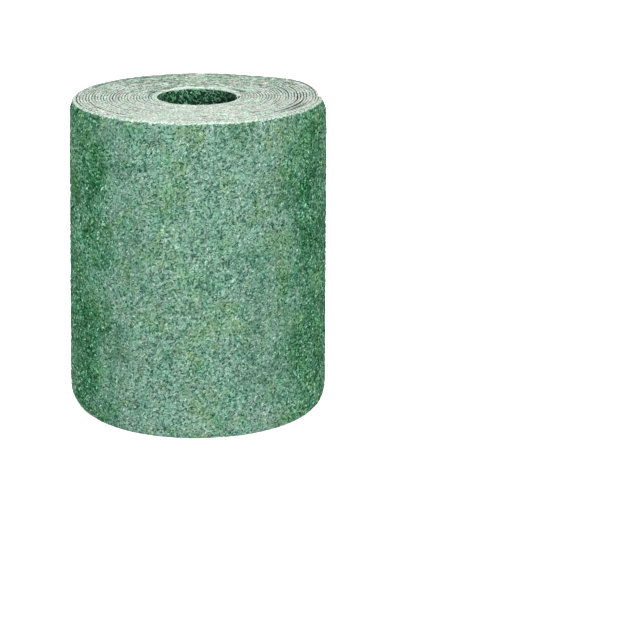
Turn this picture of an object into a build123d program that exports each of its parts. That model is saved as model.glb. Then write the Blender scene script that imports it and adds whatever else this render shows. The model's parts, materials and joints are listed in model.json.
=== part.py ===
from build123d import *
import os

# A roll of grass seed mat, standing on one end. It is a single strip of fibre fleece
# wound on itself, with no tube in its bore.
# The origin is the centre of the bottom end, and +Z runs up the roll's axis.

# Driving dimensions, in millimetres
mat_width = 200.0
roll_diameter = 165.0
bore_diameter = 51.0
turns = 28

# Towards each end the outer turns lean in, by this much over this height
shoulder_lean = 4.0
shoulder_height = 13.0
foot_lean = 5.0
foot_height = 11.0

# The cut edge of the mat: softened at the outside and at the bore, and parted by a
# narrow furrow where one turn lies against the next
outer_edge_radius = 1.2
bore_edge_radius = 0.8
furrow_width = 0.6
furrow_depth = 1.0

# Worked out from the above
roll_radius = roll_diameter / 2
bore_radius = bore_diameter / 2
top_radius = roll_radius - shoulder_lean
bottom_radius = roll_radius - foot_lean


def seam_radii(end_radius):
    """Radii of the seams between the turns, evenly spaced over one end of the roll."""
    turn_pitch = (end_radius - bore_radius) / turns
    return [bore_radius + turn_pitch * turn for turn in range(1, turns)]


with BuildPart() as mat_roll:
    # Half of the roll, cut through its axis
    with BuildSketch(Plane.XZ) as half_section:
        with BuildLine():
            shoulder_start = (roll_radius, mat_width - shoulder_height)
            shoulder = TangentArc(shoulder_start, (top_radius, mat_width), tangent=(0, 1))
            foot = TangentArc((roll_radius, foot_height), (bottom_radius, 0), tangent=(0, -1))
            Line(shoulder @ 0, foot @ 0)
            Polyline(shoulder @ 1, (bore_radius, mat_width), (bore_radius, 0), foot @ 1)
        make_face()
        for end in (0, -1):
            end_corners = half_section.vertices().group_by(Axis.Y)[end]
            fillet(end_corners.sort_by(Axis.X)[-1], outer_edge_radius)
        fillet(half_section.vertices().group_by(Axis.X)[0], bore_edge_radius)

        # One furrow for each seam between two turns, on the top end and on the bottom
        on_top = [Location((radius, mat_width), 0) for radius in seam_radii(top_radius)]
        on_bottom = [Location((radius, 0), 180) for radius in seam_radii(bottom_radius)]
        furrow_corners = [(-furrow_width / 2, 0), (0, -furrow_depth), (furrow_width / 2, 0)]
        with Locations(*on_top, *on_bottom):
            Polygon(*furrow_corners, align=None, mode=Mode.SUBTRACT)
    revolve(axis=Axis.Z)

mat_roll.part.label = "mat_roll"
os.makedirs("parts", exist_ok=True)
export_step(mat_roll.part, "parts/mat_roll.step")
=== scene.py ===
"""Finishes a packed roll of grass seed mat: its wound fleece, fibres, seeds and cut edges."""

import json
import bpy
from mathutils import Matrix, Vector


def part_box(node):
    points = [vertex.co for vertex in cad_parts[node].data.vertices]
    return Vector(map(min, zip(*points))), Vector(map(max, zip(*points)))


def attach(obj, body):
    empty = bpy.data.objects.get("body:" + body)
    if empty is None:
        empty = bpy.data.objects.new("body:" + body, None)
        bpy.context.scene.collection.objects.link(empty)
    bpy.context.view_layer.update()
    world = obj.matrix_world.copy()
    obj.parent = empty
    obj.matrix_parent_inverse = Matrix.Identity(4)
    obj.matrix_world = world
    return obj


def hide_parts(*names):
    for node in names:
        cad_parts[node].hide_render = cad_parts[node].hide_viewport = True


bl_info = {
    "name": "Grass Seed Mat Roll",
    "version": (1, 0, 0),
    "blender": (4, 5, 0),
    "location": "3D View > Sidebar > Seed Mat",
    "description": "Winds a fleece mat around a bore and covers it with loose fibres",
    "category": "Add Mesh",
}

from math import pi, radians

import bpy
import numpy as np
from bpy.props import FloatProperty, FloatVectorProperty, IntProperty, PointerProperty
from mathutils import Euler, Matrix, Vector

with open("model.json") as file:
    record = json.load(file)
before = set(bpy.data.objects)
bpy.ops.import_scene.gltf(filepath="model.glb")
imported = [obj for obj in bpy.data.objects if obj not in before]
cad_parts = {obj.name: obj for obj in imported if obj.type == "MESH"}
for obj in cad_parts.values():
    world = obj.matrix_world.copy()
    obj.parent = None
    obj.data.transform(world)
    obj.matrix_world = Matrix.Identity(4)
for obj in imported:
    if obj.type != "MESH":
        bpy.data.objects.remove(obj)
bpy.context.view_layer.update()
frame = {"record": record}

# The solid roll that the mat replaces, in metres
ROLL_NODE = "mat_roll"
BAKING_MAP = "OFBake"
roll_low, roll_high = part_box(ROLL_NODE)
ROLL_RADIUS = (roll_high.x - roll_low.x) / 2
MAT_WIDTH = roll_high.z - roll_low.z
BORE_RADIUS = next(
    mount["dims"]["r_mm"] / 1000
    for mount in frame["record"]["mounts"]
    if mount["name"] == "bore"
)
MILLIMETRE = 0.001


# What a user would change


def length_property(name, description, millimetres):
    """A length, which the sidebar shows in the scene's own unit."""
    return FloatProperty(
        name=name,
        description=description,
        default=millimetres * MILLIMETRE,
        subtype="DISTANCE",
    )


def count_property(name, description, count):
    """A number of strands."""
    return IntProperty(name=name, description=description, default=count, min=1)


def colour_property(name, description, colour):
    """A plain colour that the sidebar shows as a swatch."""
    return FloatVectorProperty(
        name=name,
        description=description,
        default=colour,
        size=3,
        min=0.0,
        max=1.0,
        subtype="COLOR",
    )


class MatShape(bpy.types.PropertyGroup):
    """How the strip of mat is wound."""

    turns: IntProperty(
        name="Turns",
        description="Turns of mat between the bore and the outside",
        default=28,
        min=3,
    )
    tail_angle: FloatProperty(
        name="Tail angle",
        description="Where the loose outer end lies, counter-clockwise from +X",
        default=radians(-2),
        subtype="ANGLE",
    )
    tail_lift: length_property(
        "Tail lift", "How far the loose outer end stands off the turn below it", 0.25
    )
    nap: length_property("Nap", "How far the tufts stand out from the outer face", 1.1)
    gap: length_property("Gap", "Usual space between one turn and the next", 0.44)
    crowding: length_property(
        "Crowding",
        "How far the turns are pushed in or out of place, so that gaps differ",
        0.5,
    )
    shoulder_lean: length_property(
        "Shoulder lean", "How far the outermost turn leans in at the top end", 2.8
    )
    shoulder_height: length_property(
        "Shoulder height", "How far below the top end that lean begins", 10.0
    )
    foot_lean: length_property(
        "Foot lean",
        "How far the outermost turn leans in at the bottom end, on the two sides",
        4.6,
    )
    foot_height: length_property(
        "Foot height", "How far above the floor that lean begins", 11.0
    )
    taper: length_property(
        "Taper", "How much smaller the roll's radius is at the top than at the foot", 2.6
    )
    slant: length_property(
        "Slant", "How much higher the top end is at +X than at the middle", 0.9
    )
    high_side: length_property(
        "High side",
        "How much higher still the outer turns stand on one side of the top end",
        2.4,
    )
    high_angle: FloatProperty(
        name="High side's angle",
        description="Where that side lies, counter-clockwise from +X",
        default=radians(26),
        subtype="ANGLE",
    )
    crown: length_property(
        "Crown", "How far the cut edge is rounded towards its corners", 0.40
    )
    collar: length_property(
        "Collar",
        "How far the innermost turns stand up out of the top end, at the back",
        1.1,
    )
    bore_wander: length_property(
        "Bore wander", "How far the innermost turn lies in or out of its place", 0.5
    )
    unevenness: length_property(
        "Unevenness", "How much higher or lower one turn's edge lies than the next", 0.32
    )
    lumps: length_property("Lumps", "Height of the soft swellings on the outer face", 0.28)
    ovality: length_property(
        "Ovality", "How far the soft roll is from round at its outside", 0.35
    )


class MatFibres(bpy.types.PropertyGroup):
    """The loose fibres that cover the mat."""

    face_count: count_property(
        "Face tufts", "Tufts of all colours on the outer face", 44000
    )
    top_count: count_property("Top fibres", "Fibres on the cut edges of the top end", 6000)
    bottom_count: count_property(
        "Bottom fibres", "Fibres on the cut edges of the bottom end", 3000
    )
    bore_count: count_property("Bore tufts", "Tufts on the wall of the bore", 5500)
    length: length_property("Tuft length", "Usual length of a tuft on the outer face", 3.3)
    thickness: length_property(
        "Tuft thickness", "Usual thickness of a tuft on the outer face", 0.76
    )
    seed_count: count_property("Seeds", "Grass seeds that show through the outer face", 24)
    seed_length: length_property("Seed length", "Usual length of a grass seed", 6.0)


class MatColours(bpy.types.PropertyGroup):
    """The dyes of the fleece and the finish of what is in it, and the painted shade of its
    pits, seams and bore.
    """

    fleece: colour_property(
        "Fleece", "The pale felt between the tufts of the outer face", (0.168, 0.302, 0.226)
    )
    pit: colour_property(
        "Pit", "The shadowed bottom of the fleece between its tufts", (0.010, 0.060, 0.030)
    )
    fibre_pale: colour_property(
        "Pale fibre", "The palest tufts on the outer face", (0.400, 0.535, 0.468)
    )
    fibre_green: colour_property(
        "Green fibre", "The commonest tufts on the outer face", (0.124, 0.268, 0.190)
    )
    fibre_moss: colour_property(
        "Moss fibre", "Warmer green tufts on the outer face", (0.195, 0.328, 0.204)
    )
    fibre_teal: colour_property(
        "Teal fibre", "The darkest tufts on the outer face", (0.041, 0.156, 0.113)
    )
    rim: colour_property(
        "Rim", "The mint rim of the outer face at its cut edges", (0.545, 0.670, 0.575)
    )
    edge_mint: colour_property(
        "Mint edge", "Pale mint fibre at the mat's cut edges", (0.645, 0.800, 0.702)
    )
    edge_grey: colour_property(
        "Grey edge", "Undyed grey fibre at the mat's cut edges", (0.765, 0.786, 0.716)
    )
    # Painted shade in the seam between one turn and the next
    seam: colour_property(
        "Seam", "The dark seam between one turn and the next", (0.070, 0.067, 0.060)
    )
    # Deep dye of the bore's wall, darkened further with painted shade of the hole
    bore: colour_property(
        "Bore", "The deep dye on the wall of the bore", (0.003, 0.030, 0.012)
    )
    bore_fibre: colour_property(
        "Bore fibre", "Tufts on the wall of the bore", (0.212, 0.505, 0.308)
    )
    seed: colour_property(
        "Seed", "The husk of a grass seed", (0.240, 0.300, 0.190)
    )


class MatStage(bpy.types.PropertyGroup):
    """The camera, the lamps and the floor."""

    lens: FloatProperty(
        name="Lens",
        description="Focal length on a sensor 36 mm wide",
        default=120.11,
        unit="CAMERA",
    )
    lamp_power: FloatProperty(
        name="Lamp power",
        description="Power of the front lamp",
        default=30.0,
        unit="POWER",
    )
    fill: FloatProperty(
        name="Fill",
        description="Brightness of the even light from all around",
        default=0.08,
        min=0.0,
    )
    floor_glow: FloatProperty(
        name="Floor glow",
        description="How much brighter the floor looks than its lamps make it",
        default=0.8,
        min=0.0,
    )


# The shape of the wound strip


def winding_pitch(shape):
    """Radial distance from one turn to the next."""
    return (ROLL_RADIUS - shape.nap - BORE_RADIUS) / shape.turns


def strip_length(shape, lap):
    """Length of mat from its inner end to a place counted in turns."""
    return 2 * pi * lap * (BORE_RADIUS + winding_pitch(shape) * lap / 2)


def lap_at(shape, distance):
    """The place, counted in turns, that lies at a distance along the mat."""
    pitch = winding_pitch(shape)
    return (np.sqrt(BORE_RADIUS**2 + pitch * distance / pi) - BORE_RADIUS) / pitch


def outermost_turn(shape):
    """Where the outermost turn starts and ends, as distances along the mat."""
    return strip_length(shape, shape.turns - 1), strip_length(shape, shape.turns)


def wander(seed, spacing, along, up=0.0):
    """Smooth chance values from -1 to 1 over a surface, which change over the spacing.
    Each use has a seed of its own."""
    side = 256
    lattice = np.random.default_rng(seed).uniform(-1.0, 1.0, (side, side))
    along, up = np.broadcast_arrays(np.asarray(along) / spacing, np.asarray(up) / spacing)
    column, row = np.floor(along).astype(int), np.floor(up).astype(int)
    across, rise = along - column, up - row
    across, rise = across**2 * (3 - 2 * across), rise**2 * (3 - 2 * rise)
    column, row = column % side, row % side
    beside, above = (column + 1) % side, (row + 1) % side
    low = lattice[column, row] * (1 - across) + lattice[beside, row] * across
    high = lattice[column, above] * (1 - across) + lattice[beside, above] * across
    return low * (1 - rise) + high * rise


def eased(share):
    """A share from 0 to 1 that starts and ends softly."""
    share = np.clip(share, 0, 1)
    return share**2 * (3 - 2 * share)


def spot(value, centre, reach):
    """1 at the centre of a spot, falling smoothly to 0 at its reach."""
    return eased(1 - np.abs(value - centre) / reach)


# How far along the mat a seam that gapes reaches from its widest place, in turns
LOOSE_REACH = 0.065

# Seams that gape: the turn under each, where it is in degrees from +X, and how wide
LOOSE_SEAMS = (
    (23, -31, 1.50),
    (21, -24, 1.20),
    (19, -17, 0.50),
    (17, 14, 0.30),
    (15, 19, 0.35),
    (13, 24, 0.30),
    (4, 152, 0.70),
    (4, 126, 0.55),
    (4, 100, 0.45),
    (4, 72, 0.50),
    (2, 38, 0.60),
    (14, 196, 0.40),
    (25, 151, 0.45),
)


def loose_seam(shape, lap):
    """How far the seam on the outer side of a place along the mat gapes."""
    opening = np.zeros(np.shape(lap))
    for turn, degrees, width in LOOSE_SEAMS:
        turn_share = (radians(degrees) - shape.tail_angle) / (2 * pi) % 1
        opening = opening + width * MILLIMETRE * spot(lap, turn + turn_share, LOOSE_REACH)
    return opening


def pressed_in(shape, lap):
    """How much thinner the mat is on its inner and outer face, at seams that gape."""
    return loose_seam(shape, lap - 1) / 2, loose_seam(shape, lap) / 2


def strip_thickness(shape, lap):
    """Thickness of the mat, which leaves the gap to the next turn."""
    along = strip_length(shape, lap)
    # The mat is wound a little more loosely on the right
    gap = shape.gap * (1 + 0.08 * np.cos(turn_angle(shape, lap)))
    gap = gap * (1 + 0.7 * wander(11, 18 * MILLIMETRE, along))
    thickness = winding_pitch(shape) - gap - sum(pressed_in(shape, lap))
    # The cut ends of the strip are rounded
    reach = 1.2 * MILLIMETRE
    to_end = np.minimum(along, strip_length(shape, shape.turns) - along)
    ending = np.clip(1 - to_end / reach, 0, 1)
    return thickness * np.sqrt(1 - 0.92 * ending**2)


def turn_angle(shape, lap):
    """Where a place along the mat lies around the roll, counter-clockwise from +X."""
    return shape.tail_angle + 2 * pi * (lap - shape.turns)


def end_lean(shape, angle, height):
    """How far the outermost turn stands in from the roll's side."""
    shoulder = np.clip(1 - (MAT_WIDTH - height) / shape.shoulder_height, 0, 1)
    foot = np.clip(1 - height / shape.foot_height, 0, 1)
    # The shoulder leans in most behind, and the foot on its two sides, more on the left
    back = np.clip(np.sin(angle), 0, 1)
    shoulder_lean = shape.shoulder_lean * (1 + 0.5 * back**2)
    aside = np.cos(angle)
    foot_lean = shape.foot_lean * (0.1 + 0.9 * aside**2) * (1 - 0.2 * aside)
    lean = shoulder_lean * shoulder**2 + foot_lean * foot**2
    return lean + shape.taper * (height / MAT_WIDTH - 0.5)


def on_mat(shape, lap, across, height, proud=0.0):
    """Points of the mat. Across runs from -1 on its inner face to 1 on its outer face,
    and proud is how far a point stands out from there."""
    angle = turn_angle(shape, lap)
    radius = BORE_RADIUS + winding_pitch(shape) * lap
    oval = shape.ovality * (radius / ROLL_RADIUS) * np.cos(2 * angle - 1.1)
    lift = shape.tail_lift * np.clip((lap - shape.turns) / 0.07 + 1, 0, 1) ** 2
    outwards = (radius - BORE_RADIUS) / (ROLL_RADIUS - BORE_RADIUS)
    push = wander(12, 16 * MILLIMETRE, radius * np.cos(angle), radius * np.sin(angle))
    push = shape.crowding * push * 4 * outwards * (1 - outwards)
    inner, outer = pressed_in(shape, lap)
    half = across * strip_thickness(shape, lap) / 2 + (inner - outer) / 2
    radius = radius + oval + lift + push + half
    # The bore isn't quite round
    wandering = shape.bore_wander * wander(13, 6 * MILLIMETRE, BORE_RADIUS * angle)
    radius = radius + wandering * eased(1 - lap)
    radius = radius - outwards * end_lean(shape, angle, height) + proud
    height = np.broadcast_to(height, radius.shape)
    return np.stack([radius * np.cos(angle), radius * np.sin(angle), height], axis=-1)


def end_slant(shape, lap):
    """How far the top end's slant and its one high side lift the mat's edge."""
    outwards = (BORE_RADIUS + winding_pitch(shape) * lap) / ROLL_RADIUS
    angle = turn_angle(shape, lap)
    from_high = (angle - shape.high_angle + pi) % (2 * pi) - pi
    high_side = shape.high_side * spot(from_high, 0.0, radians(42)) * outwards**3
    return shape.slant * np.cos(angle) * outwards + high_side


def collar_rise(shape, lap):
    """How far the collar around the back of the bore lifts the mat's top edge."""
    back = eased(1.4 * np.sin(turn_angle(shape, lap)))
    ragged = 1 + 0.6 * wander(25, 4 * MILLIMETRE, strip_length(shape, lap))
    return shape.collar * ragged * back * eased((1.8 - lap) / 1.2)


def edge_heights(shape, lap):
    """Heights of the mat's bottom and top edges at a place along it."""
    along = strip_length(shape, lap)
    slow = wander(21, 70 * MILLIMETRE, along)
    quick = wander(22, 3 * MILLIMETRE, along)
    low = 0.4 * shape.unevenness * (0.55 + 0.35 * slow + 0.10 * quick)
    slow = wander(23, 70 * MILLIMETRE, along)
    quick = wander(24, 3 * MILLIMETRE, along)
    high = MAT_WIDTH + end_slant(shape, lap) + collar_rise(shape, lap)
    return low, high + shape.unevenness * (0.7 * slow + 0.35 * quick)


def crown_fall(shape, across):
    """How far the cut edge has fallen away from its crest."""
    return shape.crown * (1 - np.sqrt(1 - np.clip(np.abs(across), 0, 0.98) ** 2))


# What is left of that at the foot, where the roll's weight presses the edges flat
FOOT_CROWN = 0.35


def outer_swelling(shape, lap, height):
    """Soft swellings of the outer face."""
    along = strip_length(shape, lap)
    broad = wander(31, 9 * MILLIMETRE, along, height)
    close = wander(32, 3.6 * MILLIMETRE, along, height)
    return shape.lumps * (0.6 * broad + 0.5 * close)


# Meshes


def grid_quads(grid):
    """The corners of each quad of a grid, for its point numbers or its map places."""
    corners = (grid[:-1, :-1], grid[:-1, 1:], grid[1:, 1:], grid[1:, :-1])
    return np.stack(corners, axis=2).reshape(-1, 4, *grid.shape[2:])


# What is left free at the edges of a baking map
MAP_MARGIN = 0.004


def map_band(grid, start, end):
    """Map places for a grid of points, spread evenly over the baking map from side to
    side, and from one height on it to another."""
    columns, rows = grid.shape
    u = np.linspace(MAP_MARGIN, 1 - MAP_MARGIN, columns)[:, None]
    v = np.linspace(start, end, rows)[None, :]
    return np.stack(np.broadcast_arrays(u, v), axis=-1)


def make_piece(name, points, faces, places, material):
    """A smooth mesh object in the roll's frame, on its body and with its baking map."""
    mesh = bpy.data.meshes.new(name)
    mesh.from_pydata(points.reshape(-1, 3), [], faces)
    baking_map = mesh.uv_layers.new(name=BAKING_MAP)
    baking_map.uv.foreach_set("vector", np.ravel(places).astype(np.float32))
    mesh.shade_smooth()
    mesh.materials.append(material)
    mesh.update()
    piece = bpy.data.objects.new(name, mesh)
    bpy.context.scene.collection.objects.link(piece)
    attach(piece, "root")
    return piece


def add_attribute(piece, name, values):
    """One number for each point of a piece, which its material reads."""
    attribute = piece.data.attributes.new(name, "FLOAT", "POINT")
    attribute.data.foreach_set("value", np.ravel(values).astype(np.float32))


# Where the points of a cut edge lie, from the mat's inner face to its outer face, and
# how much painted shade each gets, because it is deep in the seam to the next turn
CROWN_ACROSS = np.array([-1.0, -0.92, -0.78, 0.0, 0.78, 0.92, 1.0])
CROWN_SEAM_SHADE = np.array([1.0, 0.9, 0.12, 0.0, 0.12, 0.9, 1.0])


def wall_shares(shape):
    """Where a hidden face of the mat has points, as shares of the way down or up it."""
    return np.array([shape.shoulder_height, MAT_WIDTH - shape.foot_height]) / MAT_WIDTH


def strip_mesh(shape, laps, outer_shares, swelling):
    """Points of a stretch of the wound strip, one closed outline for each place along it:
    over the top edge outwards, down the outer face, back under the bottom edge and up
    the inner face."""
    low, high = (edge[:, None] for edge in edge_heights(shape, laps))
    fall = crown_fall(shape, CROWN_ACROSS)[None, :]
    corner = crown_fall(shape, 1.0)
    face_top, face_bottom = high - corner, low + FOOT_CROWN * corner
    outer = face_top + (face_bottom - face_top) * outer_shares[None, :]
    inner = face_bottom + (face_top - face_bottom) * wall_shares(shape)[None, :]
    height = np.concatenate([high - fall, outer, low + FOOT_CROWN * fall, inner], axis=1)
    outer_face, inner_face = np.ones(len(outer_shares)), -np.ones(inner.shape[1])
    across = np.concatenate([CROWN_ACROSS, outer_face, CROWN_ACROSS[::-1], inner_face])
    lap = np.broadcast_to(laps[:, None], height.shape)
    across = np.broadcast_to(across[None, :], height.shape)
    proud = swelling(lap, height) * (across + 1) / 2
    return on_mat(shape, lap, across, height, proud), across


def outline_numbers(points):
    """Point numbers of a strip mesh, with the first of each outline repeated at its end."""
    columns, rows = points.shape[:2]
    numbers = np.arange(columns * rows).reshape(columns, rows)
    return np.concatenate([numbers, numbers[:, :1]], axis=1)


def outline_parts(grid, outer_rows):
    """The parts of each outline of a strip mesh, which share their corners: its top edge,
    its outer face, its bottom edge and its inner face."""
    crown = len(CROWN_ACROSS)
    foot = crown + outer_rows
    top_edge, bottom_edge = grid[:, :crown], grid[:, foot : foot + crown]
    return top_edge, grid[:, crown - 1 : foot + 1], bottom_edge, grid[:, foot + crown - 1 :]


def painted_seam_shade(shape, laps, across, outer_rows):
    """How much painted shade each point of a strip mesh gets, because it is deep in a seam.
    Above 1, the painted shade reaches further over the edge, as it does at seams that gape."""
    inner_rows = across.shape[1] - outer_rows - 2 * len(CROWN_ACROSS)
    outer_face, inner_face = np.ones(outer_rows), np.ones(inner_rows)
    outline = np.concatenate([CROWN_SEAM_SHADE, outer_face, CROWN_SEAM_SHADE, inner_face])
    inner, outer = pressed_in(shape, laps[:, None])
    return outline[None, :] * (1 + 6 * np.where(across > 0, outer, inner) / MILLIMETRE)


def strip_piece(name, points, numbers, groups, material):
    """A piece of the wound strip, closed at both ends. Groups pair the point numbers of a
    part of its outline with their places on the baking map."""
    quads = np.concatenate([grid_quads(number) for number, _ in groups]).tolist()
    places = np.concatenate([grid_quads(place).reshape(-1, 2) for _, place in groups])
    caps = [numbers[0, -2::-1].tolist(), numbers[-1, :-1].tolist()]
    around = np.linspace(0, 2 * pi, len(caps[0]), endpoint=False)
    cap_place = 0.003 + 0.002 * np.stack([np.cos(around), np.sin(around)], axis=-1)
    places = np.concatenate([places, cap_place, cap_place])
    return make_piece(name, points, quads + caps, places, material)


def kept_within(paths, low, high):
    """Slides each path, whole, to where it lies between two limits."""
    paths = paths - np.maximum((paths - high).max(axis=1, keepdims=True), 0)
    return paths + np.maximum((low - paths).max(axis=1, keepdims=True), 0)


def face_places(shape, chance, along, up):
    """Places on the outer face, for paths that start anywhere on it: the distance along
    the mat, the height, and the place counted in turns."""
    first, last = outermost_turn(shape)
    count = len(along)
    margin = 0.6 * MILLIMETRE
    start = chance.uniform(first, last, (count, 1))
    distance = kept_within(start + along, first, last - margin)
    laps = lap_at(shape, distance)
    low, high = edge_heights(shape, laps)
    height = MAT_WIDTH * chance.uniform(0, 1, (count, 1)) + up
    return distance, kept_within(height, low + margin, high - margin), laps


def face_map(shape, distance, height):
    """Baking map places for points of the outer face."""
    first, last = outermost_turn(shape)
    return np.stack([(distance - first) / (last - first), height / MAT_WIDTH], axis=-1)


# Fibres


def unit(vectors):
    """The same directions, each of length one."""
    return vectors / np.linalg.norm(vectors, axis=2, keepdims=True)


def tubes(paths, outward, radii, sides, flatness):
    """Closed tubes along many short paths. Radii has one value for each path or for each
    of its points, and the first and last points are tips. Flatness is how thick a tube is
    for its width."""
    radii = np.broadcast_to(radii, paths.shape[:2])
    tangent = unit(np.gradient(paths, axis=1))
    beside = unit(np.cross(outward, tangent))
    above = np.cross(tangent, beside)
    rings = []
    for turn in np.arange(sides) * 2 * pi / sides + pi / 2:
        spoke = beside * np.cos(turn) + above * np.sin(turn) * flatness
        rings.append(paths + spoke * radii[..., None])
    inner = np.stack(rings, axis=2)[:, 1:-1].reshape(len(paths), -1, 3)
    points = np.concatenate([paths[:, :1], inner, paths[:, -1:]], axis=1)

    last = points.shape[1] - 1
    ring = np.arange(sides)
    onwards = (ring + 1) % sides
    tips = [(0, 1 + b, 1 + a) for a, b in zip(ring, onwards)]
    last_ring = last - sides
    tips += [(last, last_ring + a, last_ring + b) for a, b in zip(ring, onwards)]
    walls = []
    for here in range(1, last_ring, sides):
        there = here + sides
        walls += [(here + a, here + b, there + b, there + a) for a, b in zip(ring, onwards)]
    first = (np.arange(len(paths)) * points.shape[1])[:, None, None]
    walls = (np.array(walls)[None] + first).reshape(-1, 4)
    tips = (np.array(tips)[None] + first).reshape(-1, 3)
    return points.reshape(-1, 3), walls, tips


# Which way more of the face's tufts lie: up to the right, from the level
TUFT_LEAN = radians(38)


def curled_steps(chance, count, length, curl, points, leaning=0.0):
    """How far each point of many curled fibres lies along and up from its start. Leaning
    is how strongly they are drawn to one way, from 0 to 0.5."""
    steps = points - 1
    heading = chance.uniform(0, 2 * pi, (count, 1))
    heading = heading - leaning * np.sin(2 * (heading - TUFT_LEAN))
    bend = chance.normal(0, curl, (count, 1)) * np.linspace(-0.5, 0.5, steps)[None]
    kink = chance.normal(0, 0.35, (count, steps))
    stride = length * chance.uniform(0.55, 1.35, (count, 1)) / steps
    along = np.cumsum(np.cos(heading + bend + kink) * stride, axis=1)
    up = np.cumsum(np.sin(heading + bend + kink) * stride, axis=1)
    start = np.zeros((count, 1))
    return np.hstack([start, along]), np.hstack([start, up])


def arch(chance, count, sunk, crest, points):
    """How far each point of many fibres stands out: both ends sunk, and a hump between."""
    hump = np.sin(np.linspace(0, pi, points))[None]
    return (sunk + crest * chance.uniform(0.2, 1.0, (count, 1))) * hump - sunk


def radial(paths):
    """The outward direction at each point of many paths."""
    return unit(paths * np.array([1.0, 1.0, 0.0]))


def wall_axes(paths, girth):
    """The axes of a baking map that goes once around a wall: how far a step of one metre
    along X, Y and Z goes across the map at each point of many paths, and up it."""
    around = np.cross([0.0, 0.0, 1.0], radial(paths))
    return around / girth, np.array([0.0, 0.0, 1 / MAT_WIDTH])


def strand_piece(name, paths, outward, radii, places, axes, material, sides=3, flatness=0.6):
    """A piece made of many strands, with one map place for each point of their paths, and
    the axes of their baking map."""
    points, walls, tips = tubes(paths, outward, radii, sides, flatness)

    def on_rings(values):
        return np.repeat(values[:, 1:-1], sides, axis=1)

    aside = points.reshape(len(paths), -1, 3)[:, 1:-1] - on_rings(paths)
    inner = on_rings(places)
    for part, axis in enumerate(axes):
        inner[..., part] += (aside * on_rings(np.broadcast_to(axis, paths.shape))).sum(axis=2)
    places = np.concatenate([places[:, :1], inner, places[:, -1:]], axis=1).reshape(-1, 2)
    corners = np.concatenate([places[walls].reshape(-1, 2), places[tips].reshape(-1, 2)])
    faces = walls.tolist() + tips.tolist()
    return make_piece(name, points, faces, np.clip(corners, 0.001, 0.999), material)


# Materials


# What the deepest dye leaves of the red, green and blue of a face and of its tufts
GROUND_DYE = (0.10, 0.27, 0.155)
TUFT_DYE = (0.35, 0.68, 0.47)
PALE_DYE = (0.86, 1.20, 1.00)

# Tints, which multiply red, green and blue. The pairs go from one to the other.
NO_TINT = (1.0, 1.0, 1.0)
LEAST_DYE = (1.02, 1.02, 1.02)
# Painted shade on the roll's two sides
SIDE_SHADE_TINT = (0.775, 1.0, 0.86)
# Painted light a little above the foot
FOOT_LIGHT_TINT = (1.12, 1.07, 1.12)
# Painted shade and light of the clumps on the roll's two sides
CLUMP_SHADING_TINTS = (0.07, 0.35, 0.21), (1.42, 1.36, 1.36)
GREEN_TINTS = (1.04, 1.0, 1.01), (0.78, 1.0, 0.91)
YELLOW_TINTS = (1.0, 1.0, 1.03), (0.93, 0.94, 0.70)
# Painted shade on the two sides of the bore's wall
BORE_SHADE_TINT = (0.18, 0.23, 0.20)
COARSE_TINTS = (0.54, 0.62, 0.56), (1.38, 1.40, 1.38)

# How much more dyed fibre was dragged over the far side of an end
FAR_DRAG = 0.135

# How far the pale rim of a cut edge reaches down the outer face, and down the bore
RIM_REACH = 1.2 * MILLIMETRE
BORE_RIM_REACH = 0.4 * MILLIMETRE


def join(tree, source, target):
    """Links an output to an input, or sets the input to a plain value."""
    if isinstance(source, bpy.types.NodeSocket):
        tree.links.new(source, target)
    else:
        target.default_value = source


def add_maths(tree, operation, first, second):
    """One step of arithmetic, with one or two numbers."""
    node = tree.nodes.new("ShaderNodeMath")
    node.operation = operation
    join(tree, first, node.inputs[0])
    join(tree, second, node.inputs[1])
    return node.outputs["Value"]


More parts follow.
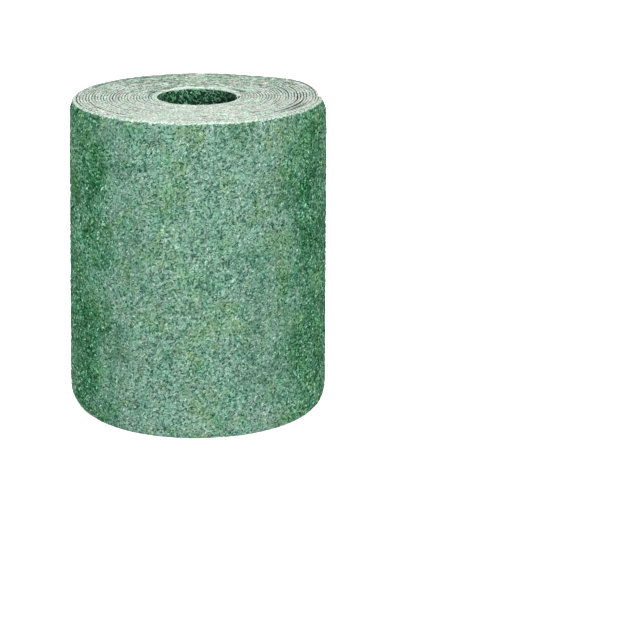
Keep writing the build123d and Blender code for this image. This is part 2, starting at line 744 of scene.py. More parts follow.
class Finish:
    """A new material's shader nodes, with short ways to add and join them."""

    def __init__(self, name):
        self.material = bpy.data.materials.new(name)
        self.material.use_nodes = True
        self.tree = self.material.node_tree
        self.nodes, self.links = self.tree.nodes, self.tree.links
        self.surface = self.nodes["Principled BSDF"]
        self.position = self.nodes.new("ShaderNodeTexCoord").outputs["Object"]

    def maths(self, operation, first, second):
        """One step of arithmetic in this material."""
        return add_maths(self.tree, operation, first, second)

    def vector_maths(self, operation, first, second=None):
        """A node for one step of arithmetic on a position, with a plain vector if given."""
        node = self.nodes.new("ShaderNodeVectorMath")
        node.operation = operation
        self.links.new(first, node.inputs[0])
        if second:
            node.inputs[1].default_value = second
        return node

    def noise(self, size, detail=2.0, roughness=0.5, distortion=0.0, place=None):
        """Even chance values whose features are about the given size. Place is where they
        are read, the plain position if it isn't given."""
        node = self.nodes.new("ShaderNodeTexNoise")
        node.inputs["Scale"].default_value = 1 / size
        node.inputs["Detail"].default_value = detail
        node.inputs["Roughness"].default_value = roughness
        node.inputs["Distortion"].default_value = distortion
        self.links.new(place or self.position, node.inputs["Vector"])
        return node.outputs["Fac"]

    def squeezed(self, shares):
        """The position with each of its parts multiplied by a share, which makes a pattern
        longer that way."""
        return self.vector_maths("MULTIPLY", self.position, shares).outputs["Vector"]

    def leaned(self, longer):
        """The position, for a pattern that is longer the way that the tufts lean in front."""
        node = self.nodes.new("ShaderNodeMapping")
        node.vector_type = "TEXTURE"
        self.links.new(self.position, node.inputs["Vector"])
        node.inputs["Rotation"].default_value = (0.0, -TUFT_LEAN, 0.0)
        node.inputs["Scale"].default_value = (longer, 1.0, 1.0)
        return node.outputs["Vector"]

    def spread(self, value, low, high, to_low=0.0, to_high=1.0):
        """Stretches a value's range, and holds it there."""
        node = self.nodes.new("ShaderNodeMapRange")
        join(self.tree, value, node.inputs["Value"])
        node.inputs["From Min"].default_value = low
        node.inputs["From Max"].default_value = high
        node.inputs["To Min"].default_value = to_low
        node.inputs["To Max"].default_value = to_high
        return node.outputs["Result"]

    def along(self, direction):
        """How far a point lies along a direction from the middle of the roll's foot."""
        return self.vector_maths("DOT_PRODUCT", self.position, direction).outputs["Value"]

    def from_axis(self):
        """How far a point is from the roll's axis."""
        level = self.squeezed((1.0, 1.0, 0.0))
        return self.vector_maths("LENGTH", level).outputs["Value"]

    def mix(self, factor, first, second, blend="MIX"):
        """One colour laid over another."""
        node = self.nodes.new("ShaderNodeMix")
        node.data_type = "RGBA"
        node.blend_type = blend
        sockets = {socket.identifier: socket for socket in node.inputs}
        join(self.tree, factor, sockets["Factor_Float"])
        for colour, identifier in ((first, "A_Color"), (second, "B_Color")):
            if not isinstance(colour, bpy.types.NodeSocket):
                colour = (*colour, 1.0)
            join(self.tree, colour, sockets[identifier])
        return next(out for out in node.outputs if out.identifier == "Result_Color")

    def tinted(self, colour, factor, first, second):
        """A colour multiplied by a tint, which goes from the first to the second."""
        return self.mix(1.0, colour, self.mix(factor, first, second), blend="MULTIPLY")

    def speckle(self, colour, size, darkest, lightest, place=None):
        """Makes a colour darker and lighter in fine specks."""
        specks = self.noise(size, detail=3.0, roughness=0.6, place=place)
        shade = self.spread(specks, 0.34, 0.66, darkest, lightest)
        return self.mix(1.0, colour, shade, blend="MULTIPLY")

    def attribute(self, name):
        """A number that the mesh holds for each of its points."""
        node = self.nodes.new("ShaderNodeAttribute")
        node.attribute_name = name
        return node.outputs["Fac"]

    def bump(self, heights, depth):
        """Fine relief, from values between 0 and 1 that stand for the given depth."""
        node = self.nodes.new("ShaderNodeBump")
        node.inputs["Distance"].default_value = depth
        self.links.new(heights, node.inputs["Height"])
        self.links.new(node.outputs["Normal"], self.surface.inputs["Normal"])

    def surface_of(self, colour, rough, specular, relief, depth):
        """The finished surface. Rough holds its least and greatest roughness."""
        join(self.tree, colour, self.surface.inputs["Base Color"])
        roughness = self.spread(relief, 0.3, 0.7, *rough)
        join(self.tree, roughness, self.surface.inputs["Roughness"])
        self.surface.inputs["Specular IOR Level"].default_value = specular
        self.bump(relief, depth)
        return self.material


def painted_side_shade(finish):
    """Where painted shade falls on the roll's two sides: 1 there, a little further round on
    the right, and 0 between them, with a ragged border."""
    aside = finish.maths("ADD", finish.along((1 / ROLL_RADIUS, 0.0, 0.0)), 0.01)
    aside = finish.maths("ABSOLUTE", aside, 0.0)
    ragged = finish.noise(22 * MILLIMETRE, detail=4.0, roughness=0.6)
    aside = finish.maths("ADD", aside, finish.spread(ragged, 0.3, 0.7, -0.12, 0.12))
    return finish.spread(aside, 0.58, 0.82)


def clumps_of_painted_shading(finish, colour, aside):
    """Lays clumps over a colour on the roll's two sides, dark and light: painted shade and
    light among the fibres there. They are longer around the roll than high."""
    longer = finish.squeezed((1.0, 0.45, 1.0))
    clump = finish.noise(1.7 * MILLIMETRE, detail=2.0, roughness=0.6, place=longer)
    clump = finish.mix(finish.spread(clump, 0.38, 0.52), *CLUMP_SHADING_TINTS)
    return finish.tinted(colour, aside, NO_TINT, clump)


def bore_painted_shade(finish, colour):
    """Paints shade on the wall of the bore, most on its right side and less on its left."""
    side = finish.maths("ADD", finish.along((1 / BORE_RADIUS, 0.0, 0.0)), 0.16)
    side = finish.maths("POWER", side, 2.0)
    outside, inside = (BORE_RADIUS + out * MILLIMETRE for out in (4.5, 2.5))
    side = finish.maths("MULTIPLY", side, finish.spread(finish.from_axis(), outside, inside))
    return finish.tinted(colour, side, NO_TINT, BORE_SHADE_TINT)


def patches_and_painted_shading(finish, colour, deepest):
    """Lays the fleece's mottled dye over a colour, darker and purer where the dye is deep.
    On the roll's two sides it paints shade: deeper, greener and in clumps. A little above
    the foot it paints light, and on the two sides of the bore's wall it paints shade."""
    aside = painted_side_shade(finish)
    depth = finish.noise(26 * MILLIMETRE, detail=7.0, roughness=0.7)
    # Painted shade: the dye is deeper on the roll's two sides
    depth = finish.maths("SUBTRACT", depth, finish.maths("MULTIPLY", aside, 0.15))
    colour = finish.tinted(colour, finish.spread(depth, 0.20, 0.49), deepest, LEAST_DYE)
    # Painted light: the fleece is paler a little above the foot
    height = finish.along((0.0, 0.0, 1.0))
    foot = finish.spread(height, 34 * MILLIMETRE, 16 * MILLIMETRE)
    colour = finish.mix(foot, colour, FOOT_LIGHT_TINT, blend="MULTIPLY")
    # Painted shade: the roll's two sides are tinted greener and darker
    colour = finish.tinted(colour, aside, NO_TINT, SIDE_SHADE_TINT)
    # Painted shade and light in clumps on the roll's two sides
    colour = clumps_of_painted_shading(finish, colour, aside)
    # Spots of a purer green
    green = finish.noise(15 * MILLIMETRE, detail=5.0, roughness=0.65, distortion=0.4)
    colour = finish.tinted(colour, finish.spread(green, 0.48, 0.68), *GREEN_TINTS)
    # Yellower spots
    yellow = finish.noise(24 * MILLIMETRE, detail=6.0, roughness=0.72, distortion=0.5)
    colour = finish.tinted(colour, finish.spread(yellow, 0.49, 0.66), *YELLOW_TINTS)
    # Painted shade on the two sides of the bore's wall
    return bore_painted_shade(finish, colour)


def cut_edge_band(finish, shape, reach):
    """1 along the mat's cut edges, and 0 past the reach, with a ragged border."""
    slope = shape.slant / ROLL_RADIUS
    height = finish.along((-slope, 0.0, 1.0))
    ragged = finish.spread(finish.noise(2.0 * MILLIMETRE, detail=3.0), 0.3, 0.7, -0.5, 0.5)
    border = finish.maths("MULTIPLY", ragged, 0.9 * reach)
    near_top = finish.maths("ADD", height, border)
    near_foot = finish.maths("SUBTRACT", height, border)
    top = finish.spread(near_top, MAT_WIDTH - 1.15 * reach, MAT_WIDTH - 0.75 * reach)
    foot = finish.spread(near_foot, 0.3 * reach, 0.0)
    return finish.maths("MAXIMUM", top, foot)


def rimmed(finish, shape, colours, colour, reach):
    """Lays the pale rim along the mat's cut edges over a colour."""
    rim = finish.speckle(colours.rim, 1.2 * MILLIMETRE, 0.35, 1.4)
    return finish.mix(cut_edge_band(finish, shape, reach), colour, rim)


def fleece_finish(shape, colours):
    """The dyed outer face: deep green between the tufts, with painted shade in the pits
    there, pale along its edges.
    """
    finish = Finish("dyed_fleece")
    colour = patches_and_painted_shading(finish, colours.fleece, GROUND_DYE)
    pits = finish.noise(1.5 * MILLIMETRE, detail=2.0, roughness=0.6, distortion=0.5)
    # Painted shade: deep green pits between the tufts
    colour = finish.mix(finish.spread(pits, 0.36, 0.48), colours.pit, colour)
    colour = finish.speckle(colour, 1.3 * MILLIMETRE, 0.6, 1.5)
    colour = rimmed(finish, shape, colours, colour, RIM_REACH)
    # Painted shade in the seams on the inner side of the outer turn
    colour = finish.mix(finish.attribute("seam"), colour, colours.seam)
    return finish.surface_of(colour, (0.7, 0.5), 0.04, pits, 0.6 * MILLIMETRE)


def far_side(finish):
    """How much more dyed fibre was dragged over an end here, most on its far side."""
    back = finish.along((0.0, 1.0, 0.0))
    return finish.spread(back, -10 * MILLIMETRE, 60 * MILLIMETRE, 0.0, FAR_DRAG)


def cut_fibre(finish, colours, drag, low, high, most):
    """Fibre of the cut edges, here mint and there grey. Between the low and the high value
    of the drag, dyed fibre comes over it, here mossy and there green, up to the most."""
    blush = finish.noise(9.0 * MILLIMETRE, detail=3.0, roughness=0.6)
    pale = finish.mix(finish.spread(blush, 0.42, 0.60), colours.edge_mint, colours.edge_grey)
    which = finish.spread(finish.noise(16 * MILLIMETRE, detail=2.0), 0.42, 0.56)
    dyed = finish.mix(which, colours.fibre_moss, colours.fibre_green)
    return finish.mix(finish.spread(drag, low, high, 0.0, most), pale, dyed)


def collared(finish, colours, colour, drag):
    """Lays a paler collar around the bore, and a dark ring of painted shade behind it."""

    def from_bore(millimetres):
        return BORE_RADIUS + millimetres * MILLIMETRE

    ragged = finish.spread(drag, 0.3, 0.7, -MILLIMETRE, MILLIMETRE)
    radius = finish.maths("ADD", finish.from_axis(), ragged)
    back = finish.along((0.0, 1.0, 0.0))
    behind = finish.spread(back, -4 * MILLIMETRE, 14 * MILLIMETRE)
    reach = finish.spread(behind, 0.0, 1.0, from_bore(2.5), from_bore(2.2))
    within = finish.maths("SUBTRACT", reach, radius)
    collar = finish.spread(within, -MILLIMETRE, MILLIMETRE)
    broken = finish.spread(finish.noise(5 * MILLIMETRE, detail=2.0), 0.42, 0.56, 0.1, 0.85)
    colour = finish.mix(finish.maths("MULTIPLY", collar, broken), colour, colours.edge_mint)
    # Painted shade: a dark ring behind the collar, in the teal fibre's colour
    middle = finish.spread(behind, 0.3, 1.0, from_bore(5.0), from_bore(6.4))
    aside = finish.maths("ABSOLUTE", finish.maths("SUBTRACT", radius, middle), 0.0)
    furrow_shade = finish.spread(aside, 2.2 * MILLIMETRE, 1.2 * MILLIMETRE)
    furrow_shade = finish.maths("MULTIPLY", furrow_shade, behind)
    broken = finish.spread(finish.noise(8 * MILLIMETRE), 0.40, 0.52, 0.25, 0.90)
    return finish.mix(finish.maths("MULTIPLY", furrow_shade, broken), colour, colours.fibre_teal)


def turn_ends(finish, colours, fine):
    """The cut edges of all the turns, as the two ends of the roll show them."""
    far = far_side(finish)
    drag = finish.noise(3.0 * MILLIMETRE, detail=3.0, roughness=0.6)
    drag = finish.maths("ADD", drag, far)
    colour = cut_fibre(finish, colours, drag, 0.56, 0.70, 0.8)
    shade = finish.spread(fine, 0.36, 0.62, 0.35, 1.2)
    colour = finish.mix(1.0, colour, shade, blend="MULTIPLY")
    # The mottling is coarser on the far side too
    coarse = finish.noise(4.2 * MILLIMETRE, detail=2.0, roughness=0.6)
    coarse = finish.mix(finish.spread(coarse, 0.40, 0.60), *COARSE_TINTS)
    share = finish.spread(far, 0.0, FAR_DRAG, 0.3, 1.0)
    colour = finish.tinted(colour, share, NO_TINT, coarse)
    return collared(finish, colours, colour, drag)


def bore_wall(finish, colours):
    """The dyed wall of the bore, darkened further with painted shade, with paler strands over
    it.
    """
    wall = patches_and_painted_shading(finish, colours.bore, GROUND_DYE)
    strands = finish.noise(2.6 * MILLIMETRE, detail=2.0, roughness=0.5, distortion=1.8)
    strands = finish.spread(strands, 0.50, 0.60, 0.0, 0.26)
    return finish.mix(strands, wall, colours.bore_fibre)


def wound_finish(shape, colours):
    """The turns seen on end, pale with painted shade in their seams, and the dyed wall of the
    bore, with painted shade too.
    """
    finish = Finish("wound_fleece")
    fine = finish.noise(0.9 * MILLIMETRE, detail=3.0, roughness=0.65)
    edge = cut_edge_band(finish, shape, BORE_RIM_REACH)
    edge = finish.maths("MAXIMUM", edge, finish.attribute("crest"))
    colour = finish.mix(edge, bore_wall(finish, colours), turn_ends(finish, colours, fine))
    # The seams close up here and there, and their painted shade fades away there
    closed = finish.spread(finish.noise(4.0 * MILLIMETRE, detail=3.0), 0.38, 0.56, 0.2, 1.0)
    tight = finish.spread(finish.noise(24.0 * MILLIMETRE), 0.42, 0.54, 0.4, 1.0)
    closed = finish.maths("MULTIPLY", closed, tight)
    # Painted shade in the seams between the turns
    seam = finish.maths("MULTIPLY", finish.attribute("seam"), closed)
    colour = finish.mix(seam, colour, colours.seam)
    return finish.surface_of(colour, (0.85, 0.65), 0.1, fine, 0.5 * MILLIMETRE)


def tuft_finish(shape, colours, name, colour, deepest, reach):
    """Loose tufts on a face, which follow its mottled dye and painted shading, and are pale
    within the reach of its cut edges."""
    finish = Finish(name)
    tuft = patches_and_painted_shading(finish, colour, deepest)
    tuft = finish.speckle(tuft, 1.8 * MILLIMETRE, 0.44, 1.40, finish.leaned(3.5))
    tuft = rimmed(finish, shape, colours, tuft, reach)
    fine = finish.noise(0.7 * MILLIMETRE)
    return finish.surface_of(tuft, (0.65, 0.45), 0.04, fine, 0.1 * MILLIMETRE)


def fluff_finish(colours):
    """Fibre ends that stand out of the cut edges, mostly undyed."""
    finish = Finish("edge_fluff")
    drag = finish.noise(2.2 * MILLIMETRE, detail=2.0)
    drag = finish.maths("ADD", drag, far_side(finish))
    colour = cut_fibre(finish, colours, drag, 0.58, 0.68, 0.85)
    colour = finish.speckle(colour, 1.2 * MILLIMETRE, 0.5, 1.3)
    fine = finish.noise(0.6 * MILLIMETRE)
    return finish.surface_of(colour, (0.9, 0.65), 0.1, fine, 0.1 * MILLIMETRE)


def husk_finish(colours):
    """The dry, ribbed husk of a grass seed."""
    finish = Finish("seed_husk")
    dark = [part * 0.7 for part in colours.seed]
    fine = finish.noise(0.8 * MILLIMETRE, detail=3.0)
    colour = finish.mix(finish.spread(fine, 0.35, 0.65), dark, colours.seed)
    return finish.surface_of(colour, (0.6, 0.45), 0.4, fine, 0.15 * MILLIMETRE)


# Operators, in the order in which a roll is made

# How far apart the places are that the strip is modelled at: evenly, but closer together
# over the first millimetres from its rounded cut ends
INNER_SPACING = 2.3 * MILLIMETRE
OUTER_SPACING = 1.8 * MILLIMETRE
END_STEPS = np.array([0.0, 0.2, 0.5, 0.9, 1.6]) * MILLIMETRE

# Where the baking map of the inner turns holds the two ends of the roll, and how large
DISC_RADIUS = 0.236
TOP_DISC = np.array([0.25, 0.75])
FOOT_DISC = np.array([0.75, 0.75])

# How far across it the wall of the bore goes, and each further turn
BORE_STRETCH = 0.84
TURN_STRETCH = 0.005


class SEEDMAT_OT_inner_turns(bpy.types.Operator):
    """Wind the mat from its inner end to the start of the outermost turn"""

    bl_idname = "seedmat.inner_turns"
    bl_label = "Wind Inner Turns"
    bl_options = {"REGISTER", "UNDO"}

    def execute(self, context):
        shape = context.scene.seedmat_shape
        length = strip_length(shape, shape.turns - 1)
        even = np.linspace(END_STEPS[-1], length, int(length / INNER_SPACING))
        laps = lap_at(shape, np.concatenate([END_STEPS[:-1], even]))
        shares = wall_shares(shape)
        points, across = strip_mesh(shape, laps, shares, lambda lap, height: 0.0 * lap)
        numbers = outline_numbers(points)

        # Both ends are mapped as seen along the axis, and the walls as level bands: the
        # wall of the bore large, and the walls that other turns hide small
        top, outer, foot, inner = outline_parts(numbers, len(shares))
        disc = points[..., :2] / ROLL_RADIUS * DISC_RADIUS
        top_disc, _, foot_disc, _ = outline_parts(disc, len(shares))
        bore_band = map_band(inner, 0.01, 0.42)
        past_bore = BORE_STRETCH + (laps - 1) * TURN_STRETCH
        onwards = MAP_MARGIN + np.where(laps < 1, laps * BORE_STRETCH, past_bore)
        bore_band[..., 0] = onwards[:, None]
        groups = [
            (top, top_disc + TOP_DISC),
            (outer, map_band(outer, 0.47, 0.44)),
            (foot, foot_disc + FOOT_DISC),
            (inner, bore_band),
        ]
        finish = wound_finish(shape, context.scene.seedmat_colours)
        piece = strip_piece("inner_turns", points, numbers, groups, finish)
        in_bore = (laps[:, None] < 1) & (across < 0)
        seam_shade = painted_seam_shade(shape, laps, across, len(shares))
        # Painted shade in the seams, and none on the wall of the bore
        add_attribute(piece, "seam", np.where(in_bore, 0.0, seam_shade))
        add_attribute(piece, "crest", np.abs(across) < 0.95)
        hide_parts(ROLL_NODE)
        return {"FINISHED"}


class SEEDMAT_OT_outer_turn(bpy.types.Operator):
    """Lay the outermost turn, with its dyed face and its loose end"""

    bl_idname = "seedmat.outer_turn"
    bl_label = "Lay Outer Turn"
    bl_options = {"REGISTER", "UNDO"}

    def execute(self, context):
        shape = context.scene.seedmat_shape
        first, last = outermost_turn(shape)
        steps = int((last - first) / OUTER_SPACING)
        even = np.linspace(first, last - END_STEPS[-1], steps)
        laps = lap_at(shape, np.concatenate([even, last - END_STEPS[-2::-1]]))
        rows = round(MAT_WIDTH / OUTER_SPACING)
        shares = np.linspace(0, 1, rows + 2)[1:-1]
        points, across = strip_mesh(
            shape, laps, shares, lambda lap, height: outer_swelling(shape, lap, height)
        )
        numbers = outline_numbers(points)

        # The outer face is mapped as two panels, one over the other
        top, outer, foot, inner = outline_parts(numbers, rows)
        half = len(laps) // 2
        bands = (
            (outer[: half + 1], 0.990, 0.560),
            (outer[half:], 0.545, 0.115),
            (top, 0.070, 0.100),
            (foot, 0.035, 0.060),
            (inner, 0.010, 0.025),
        )
        groups = [(part, map_band(part, start, end)) for part, start, end in bands]
        finish = fleece_finish(shape, context.scene.seedmat_colours)
        piece = strip_piece("outer_turn", points, numbers, groups, finish)
        seam_shade = painted_seam_shade(shape, laps, across, rows)
        # Painted shade in the seams, only on the inner side
        add_attribute(piece, "seam", np.where(across > 0, 0.0, seam_shade))
        return {"FINISHED"}


class SEEDMAT_OT_face_fibres(bpy.types.Operator):
    """Cover the outer face with tufts of four colours"""

    bl_idname = "seedmat.face_fibres"
    bl_label = "Cover Outer Face"
    bl_options = {"REGISTER", "UNDO"}

    def execute(self, context):
        shape = context.scene.seedmat_shape
        colours = context.scene.seedmat_colours
        # The darkest stand out furthest, and the palest lie between them. Share is how
        # much of all the tufts has a colour.
        for seed, name, colour, deepest, share, crest in (
            (41, "teal", colours.fibre_teal, GROUND_DYE, 0.27, 0.45 * MILLIMETRE),
            (42, "green", colours.fibre_green, TUFT_DYE, 0.25, 0.40 * MILLIMETRE),
            (43, "moss", colours.fibre_moss, TUFT_DYE, 0.20, 0.35 * MILLIMETRE),
            (44, "pale", colours.fibre_pale, PALE_DYE, 0.28, 0.12 * MILLIMETRE),
        ):
            finish = tuft_finish(shape, colours, name + "_tuft", colour, deepest, RIM_REACH)
            self.cover(context, "tufts_" + name, seed, finish, share, crest)
        return {"FINISHED"}

    def cover(self, context, name, seed, finish, share, crest):
        """Scatters the tufts of one colour, which are a share of them all."""
        shape = context.scene.seedmat_shape
        fibres = context.scene.seedmat_fibres
        chance = np.random.default_rng(seed)
        count, points = round(share * fibres.face_count), 4
        along, up = curled_steps(chance, count, fibres.length, 1.1, points, leaning=0.3)
        distance, height, laps = face_places(shape, chance, along, up)
        rise = arch(chance, count, 0.35 * MILLIMETRE, crest, points)
        proud = outer_swelling(shape, laps, height) + rise
        paths = on_mat(shape, laps, 1.0, height, proud)
        radii = fibres.thickness / 2 * chance.uniform(0.6, 1.3, (count, 1))
        places = face_map(shape, distance, height)
        axes = wall_axes(paths, 2 * pi * ROLL_RADIUS)
        strand_piece(name, paths, radial(paths), radii, places, axes, finish)


class SEEDMAT_OT_seeds(bpy.types.Operator):
    """Press grass seeds into the outer face"""

    bl_idname = "seedmat.seeds"
    bl_label = "Press In Seeds"
    bl_options = {"REGISTER", "UNDO"}

    def execute(self, context):
        shape = context.scene.seedmat_shape
        fibres = context.scene.seedmat_fibres
        chance = np.random.default_rng(71)
        count = fibres.seed_count
        plump = np.array([0.0, 0.62, 0.95, 1.0, 0.8, 0.45, 0.0])
        along, up = curled_steps(chance, count, fibres.seed_length, 0.3, len(plump))
        distance, height, laps = face_places(shape, chance, along, up)
        depth = chance.uniform(-0.50, -0.10, (count, 1)) * MILLIMETRE
        paths = on_mat(shape, laps, 1.0, height, outer_swelling(shape, laps, height) + depth)
        radii = fibres.seed_length * 0.14 * chance.uniform(0.85, 1.15, (count, 1)) * plump
        finish = husk_finish(context.scene.seedmat_colours)
        places = face_map(shape, distance, height)
        axes = wall_axes(paths, 2 * pi * ROLL_RADIUS)
        strand_piece(
            "seeds", paths, radial(paths), radii, places, axes, finish, sides=6, flatness=0.8
        )
        return {"FINISHED"}


class SEEDMAT_OT_edge_fibres(bpy.types.Operator):
    """Fluff up the cut edges of the mat at both ends of the roll"""

    bl_idname = "seedmat.edge_fibres"
    bl_label = "Fluff Cut Edges"
    bl_options = {"REGISTER", "UNDO"}

    def execute(self, context):
        fibres = context.scene.seedmat_fibres
        finish = fluff_finish(context.scene.seedmat_colours)
        self.fluff(context, "fluff_top", 51, 1, fibres.top_count, finish)
        self.fluff(context, "fluff_bottom", 52, -1, fibres.bottom_count, finish)
        return {"FINISHED"}

    def fluff(self, context, name, seed, side, count, finish):
        """Scatters fibre ends over the cut edges of one end. Side is 1 for the top."""
        shape = context.scene.seedmat_shape
        fibres = context.scene.seedmat_fibres
        chance = np.random.default_rng(seed)
        points = 4
        whole = strip_length(shape, shape.turns)
        along, inward = curled_steps(chance, count, 0.5 * fibres.length, 1.2, points)
        distance = kept_within(chance.uniform(0, whole, (count, 1)) + along, 0, whole)
        laps = lap_at(shape, distance)
        start = chance.uniform(-0.8, 0.8, (count, 1))
        across = np.clip(start + inward / (winding_pitch(shape) / 2), -1.2, 1.2)
        low, high = edge_heights(shape, laps)
        radii = 0.2 * fibres.thickness * chance.uniform(0.6, 1.3, (count, 1))
        rise = arch(chance, count, 0.15 * MILLIMETRE, 0.25 * MILLIMETRE, points)
        fall = crown_fall(shape, across)
        if side > 0:
            height = high - fall + rise
        else:
            height = np.maximum(low + FOOT_CROWN * fall - rise, radii)
        paths = on_mat(shape, laps, across, height)
        outward = np.zeros_like(paths)
        outward[..., 2] = side
        # The baking map shows the whole end, seen along the axis
        axes = np.eye(3)[:2] * 0.48 / ROLL_RADIUS
        places = paths @ axes.T + 0.5
        strand_piece(name, paths, outward, radii, places, axes, finish)


class SEEDMAT_OT_bore_fibres(bpy.types.Operator):
    """Cover the wall of the bore with tufts"""

    bl_idname = "seedmat.bore_fibres"
    bl_label = "Cover Bore"
    bl_options = {"REGISTER", "UNDO"}

    def execute(self, context):
        shape = context.scene.seedmat_shape
        fibres = context.scene.seedmat_fibres
        colours = context.scene.seedmat_colours
        chance = np.random.default_rng(61)
        count, points = fibres.bore_count, 5
        around = strip_length(shape, 1)
        along, up = curled_steps(chance, count, 0.85 * fibres.length, 2.4, points)
        distance = kept_within(chance.uniform(0, around, (count, 1)) + along, 0, around)
        # They lie closer together towards both ends
        place = chance.uniform(-1, 1, (count, 1))
        place = np.sign(place) * (1 - (1 - np.abs(place)) ** 1.6)
        foot = MAT_WIDTH * (place + 1) / 2
        laps = lap_at(shape, distance)
        low, high = edge_heights(shape, laps)
        height = kept_within(foot + up, low + MILLIMETRE, high - MILLIMETRE)
        rise = arch(chance, count, 0.2 * MILLIMETRE, 0.3 * MILLIMETRE, points)
        paths = on_mat(shape, laps, -1.0, height, -rise)
        radii = 0.56 * fibres.thickness * chance.uniform(0.6, 1.2, (count, 1))
        places = np.stack([distance / around, height / MAT_WIDTH], axis=-1)
        finish = tuft_finish(
            shape, colours, "bore_tuft", colours.bore_fibre, PALE_DYE, BORE_RIM_REACH
        )
        axes = wall_axes(paths, around)
        strand_piece("tufts_bore", paths, -radial(paths), radii, places, axes, finish)
        return {"FINISHED"}


class SEEDMAT_OT_flat_size(bpy.types.Operator):
    """Find the wound strip among the pieces that have a baking map"""

    bl_idname = "seedmat.flat_size"
    bl_label = "Note Flat Size"
    bl_options = {"REGISTER", "UNDO"}

    def execute(self, context):
        meshes = [piece for piece in context.scene.objects if piece.type == "MESH"]
        pieces = [piece for piece in meshes if BAKING_MAP in piece.data.uv_layers]
        wound = next(piece for piece in pieces if piece.name == "inner_turns")
        pieces.remove(wound)
        return {"FINISHED"}


# Where the camera stands: across, in front of the axis, and above the top end, in metres
CAMERA_PLACE = (0.0003, 1.3316, 0.2768)

# How far it looks down, is turned to the right and is tilted to its left, in degrees
CAMERA_DOWN = 17.685
CAMERA_RIGHT = 3.431
CAMERA_TILT = 1.056

# Each lamp's place around the roll from the front, and its height, both in degrees, and
# its share of the lamp power
LAMPS = {
    "lamp_front": (0, 20, 1.0),
    "lamp_top": (0, 86, 0.6),
    "lamp_back_left": (-155, 12, 0.5),
    "lamp_back_right": (155, 12, 0.5),
}
LAMP_DISTANCE = 1.7
LAMP_SIZE = 0.9


class SEEDMAT_OT_stage(bpy.types.Operator):
    """Set the camera, the lamps and the floor"""

    bl_idname = "seedmat.stage"
    bl_label = "Set Stage"
    bl_options = {"REGISTER", "UNDO"}

    def execute(self, context):
        stage = context.scene.seedmat_stage
        self.set_camera(context, stage)
        self.set_lamps(context, stage)
        self.set_floor(context, stage)
        self.set_world(context, stage)
        context.scene.view_settings.view_transform = "Standard"
        return {"FINISHED"}

    def set_camera(self, context, stage):
        """A long lens in front of the roll, a little above it and turned to the right."""
        camera = bpy.data.objects.new("camera", bpy.data.cameras.new("camera"))
        camera.data.sensor_width = 36.0
        camera.data.lens = stage.lens
        across, back, above = CAMERA_PLACE
        camera.location = (across, -back, MAT_WIDTH + above)
        aim = Euler((radians(90 - CAMERA_DOWN), 0, radians(-CAMERA_RIGHT))).to_matrix()
        tilt = Matrix.Rotation(radians(CAMERA_TILT), 3, "Z")
        camera.rotation_euler = (aim @ tilt).to_euler()
        context.scene.collection.objects.link(camera)
        context.scene.camera = camera

    def set_lamps(self, context, stage):
        """Wide soft lamps in front, overhead and behind, all aimed at the roll."""
        centre = Vector((0, 0, MAT_WIDTH / 2))
        for name, (azimuth, elevation, share) in LAMPS.items():
            lamp = bpy.data.objects.new(name, bpy.data.lights.new(name, "AREA"))
            lamp.data.size = LAMP_SIZE
            lamp.data.energy = share * stage.lamp_power
            away = Vector((0, -LAMP_DISTANCE, 0))
            away.rotate(Euler((radians(-elevation), 0, radians(azimuth)), "XYZ"))
            lamp.location = centre + away
            lamp.rotation_euler = away.to_track_quat("Z", "Y").to_euler()
            context.scene.collection.objects.link(lamp)

    def set_floor(self, context, stage):
        """A pale floor that shows the roll's shadow."""
        reach = 4.0
        level = -0.2 * MILLIMETRE
        mesh = bpy.data.meshes.new("floor")
        sides = ((-1, -1), (1, -1), (1, 1), (-1, 1))
        corners = [(x * reach, y * reach, level) for x, y in sides]
        mesh.from_pydata(corners, [], [(0, 1, 2, 3)])
        floor = bpy.data.objects.new("floor", mesh)
        material = bpy.data.materials.new("pale_floor")
        material.use_nodes = True
        tree = material.node_tree
        surface = tree.nodes["Principled BSDF"]
        surface.inputs["Base Color"].default_value = (0.8, 0.8, 0.8, 1.0)
        surface.inputs["Roughness"].default_value = 0.9
        surface.inputs["Specular IOR Level"].default_value = 0.0
        surface.inputs["Emission Color"].default_value = (1, 1, 1, 1)
        join(tree, seen_rays(tree, stage.floor_glow), surface.inputs["Emission Strength"])
        mesh.materials.append(material)
        context.scene.collection.objects.link(floor)

    def set_world(self, context, stage):
        """White where it is seen, and an even grey fill for everything else."""
        world = bpy.data.worlds.new("studio")
        world.use_nodes = True
        tree = world.node_tree
        background = tree.nodes["Background"]
        background.inputs["Color"].default_value = (1, 1, 1, 1)
        total = add_maths(tree, "ADD", seen_rays(tree, 1.0 - stage.fill), stage.fill)
        join(tree, total, background.inputs["Strength"])
        context.scene.world = world


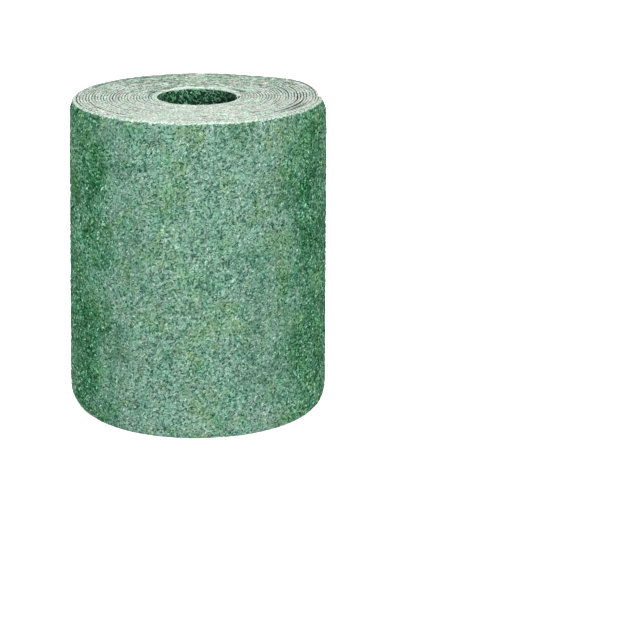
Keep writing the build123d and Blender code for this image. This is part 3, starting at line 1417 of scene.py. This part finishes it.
def seen_rays(tree, strength):
    """The given strength for rays that show a surface, straight or in gloss or glass."""
    path = tree.nodes.new("ShaderNodeLightPath")
    seen = path.outputs["Is Camera Ray"]
    for kind in ("Is Glossy Ray", "Is Transmission Ray"):
        seen = add_maths(tree, "MAXIMUM", seen, path.outputs[kind])
    return add_maths(tree, "MULTIPLY", seen, strength)


class SEEDMAT_PT_panel(bpy.types.Panel):
    """The steps of making a roll, and the values that each one reads"""

    bl_idname = "SEEDMAT_PT_panel"
    bl_label = "Seed Mat Roll"
    bl_space_type = "VIEW_3D"
    bl_region_type = "UI"
    bl_category = "Seed Mat"

    def draw(self, context):
        for operator in OPERATORS:
            self.layout.operator(operator.bl_idname)
        for name in PROPERTY_GROUPS:
            group = getattr(context.scene, name)
            box = self.layout.box()
            for key in group.bl_rna.properties.keys():
                if key not in ("rna_type", "name"):
                    box.prop(group, key)


PROPERTY_GROUPS = {
    "seedmat_shape": MatShape,
    "seedmat_fibres": MatFibres,
    "seedmat_colours": MatColours,
    "seedmat_stage": MatStage,
}
OPERATORS = (
    SEEDMAT_OT_inner_turns,
    SEEDMAT_OT_outer_turn,
    SEEDMAT_OT_face_fibres,
    SEEDMAT_OT_seeds,
    SEEDMAT_OT_edge_fibres,
    SEEDMAT_OT_bore_fibres,
    SEEDMAT_OT_flat_size,
    SEEDMAT_OT_stage,
)
CLASSES = (*PROPERTY_GROUPS.values(), *OPERATORS, SEEDMAT_PT_panel)


def register():
    for cls in CLASSES:
        bpy.utils.register_class(cls)
    for name, group in PROPERTY_GROUPS.items():
        setattr(bpy.types.Scene, name, PointerProperty(type=group))


def unregister():
    for name in PROPERTY_GROUPS:
        delattr(bpy.types.Scene, name)
    for cls in reversed(CLASSES):
        bpy.utils.unregister_class(cls)


def main():
    """Makes the roll and its stage."""
    register()
    bpy.ops.seedmat.inner_turns()
    bpy.ops.seedmat.outer_turn()
    bpy.ops.seedmat.face_fibres()
    bpy.ops.seedmat.seeds()
    bpy.ops.seedmat.edge_fibres()
    bpy.ops.seedmat.bore_fibres()
    bpy.ops.seedmat.flat_size()
    bpy.ops.seedmat.stage()


if __name__ == "__main__":
    main()
